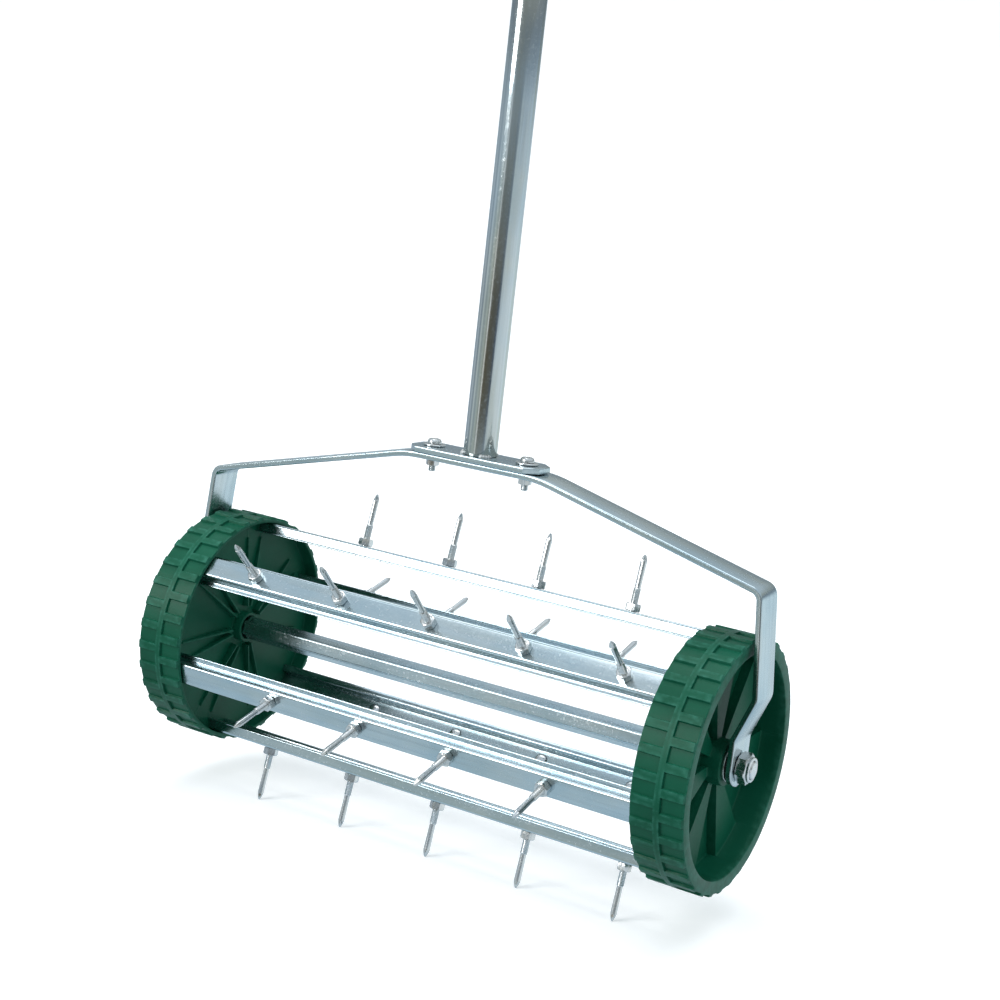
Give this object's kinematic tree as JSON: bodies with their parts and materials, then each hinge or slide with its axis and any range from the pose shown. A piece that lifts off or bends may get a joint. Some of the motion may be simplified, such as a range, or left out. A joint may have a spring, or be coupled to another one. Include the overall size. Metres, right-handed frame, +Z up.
{
  "type": "rolling lawn aerator",
  "caption": "Rolling lawn aerator: spiked channel bars joined to moulded tread wheels turn as a drum in a bent strip yoke, under a long tube handle with a crossbar with rubber grips.",
  "frame": {"origin": "on the floor plane under the middle of the axle, at the bottom centre of the bounding box", "axes": "+X along the axle towards the right wheel, +Y away from the front, +Z up along the handle"},
  "size_m": [0.5474, 0.2764, 1.2784],
  "materials": {
    "green_plastic": "moulded dark green plastic, satin",
    "zinc_plate": "zinc plated sheet and tube, slightly mottled",
    "bright_zinc": "bright zinc plated fasteners",
    "dark_rubber": "dark rubber or nylon, matt",
    "grip_rubber": "black ribbed rubber, matt"
  },
  "bodies": {
    "frame": {"axle_nut_left": "bright_zinc", "axle_nut_right": "bright_zinc", "axle_rod": "bright_zinc", "crossbar": "zinc_plate", "end_cap_left": "dark_rubber", "end_cap_right": "dark_rubber", "grip_left": "grip_rubber", "grip_right": "grip_rubber", "handle_lower": "zinc_plate", "handle_upper": "zinc_plate", "hub_spacer_left": "dark_rubber", "hub_spacer_right": "dark_rubber", "hub_washer_left": "bright_zinc", "hub_washer_right": "bright_zinc", "joint_bolt": "bright_zinc", "joint_nut": "bright_zinc", "mount_plate": "zinc_plate", "plate_bolt_left": "bright_zinc", "plate_bolt_right": "bright_zinc", "plate_nut_left": "bright_zinc", "plate_nut_right": "bright_zinc", "plate_washer_left": "zinc_plate", "plate_washer_right": "zinc_plate", "yoke": "zinc_plate"},
    "drum": {"axle_tube": "zinc_plate", "bar_1": "zinc_plate", "bar_2": "zinc_plate", "bar_3": "zinc_plate", "bar_4": "zinc_plate", "bar_5": "zinc_plate", "bar_6": "zinc_plate", "spike_1_1": "bright_zinc", "spike_1_2": "bright_zinc", "spike_1_3": "bright_zinc", "spike_1_4": "bright_zinc", "spike_2_1": "bright_zinc", "spike_2_2": "bright_zinc", "spike_2_3": "bright_zinc", "spike_2_4": "bright_zinc", "spike_2_5": "bright_zinc", "spike_3_1": "bright_zinc", "spike_3_2": "bright_zinc", "spike_3_3": "bright_zinc", "spike_3_4": "bright_zinc", "spike_4_1": "bright_zinc", "spike_4_2": "bright_zinc", "spike_4_3": "bright_zinc", "spike_4_4": "bright_zinc", "spike_4_5": "bright_zinc", "spike_5_1": "bright_zinc", "spike_5_2": "bright_zinc", "spike_5_3": "bright_zinc", "spike_5_4": "bright_zinc", "spike_6_1": "bright_zinc", "spike_6_2": "bright_zinc", "spike_6_3": "bright_zinc", "spike_6_4": "bright_zinc", "spike_6_5": "bright_zinc", "wheel_left": "green_plastic", "wheel_right": "green_plastic"}
  },
  "joints": [
    {"name": "drum_spin", "type": "hinge", "parent": "frame", "child": "drum", "pos_m": [0, 0, 0.13842], "axis": [1, 0, 0], "continuous": true}
  ]
}
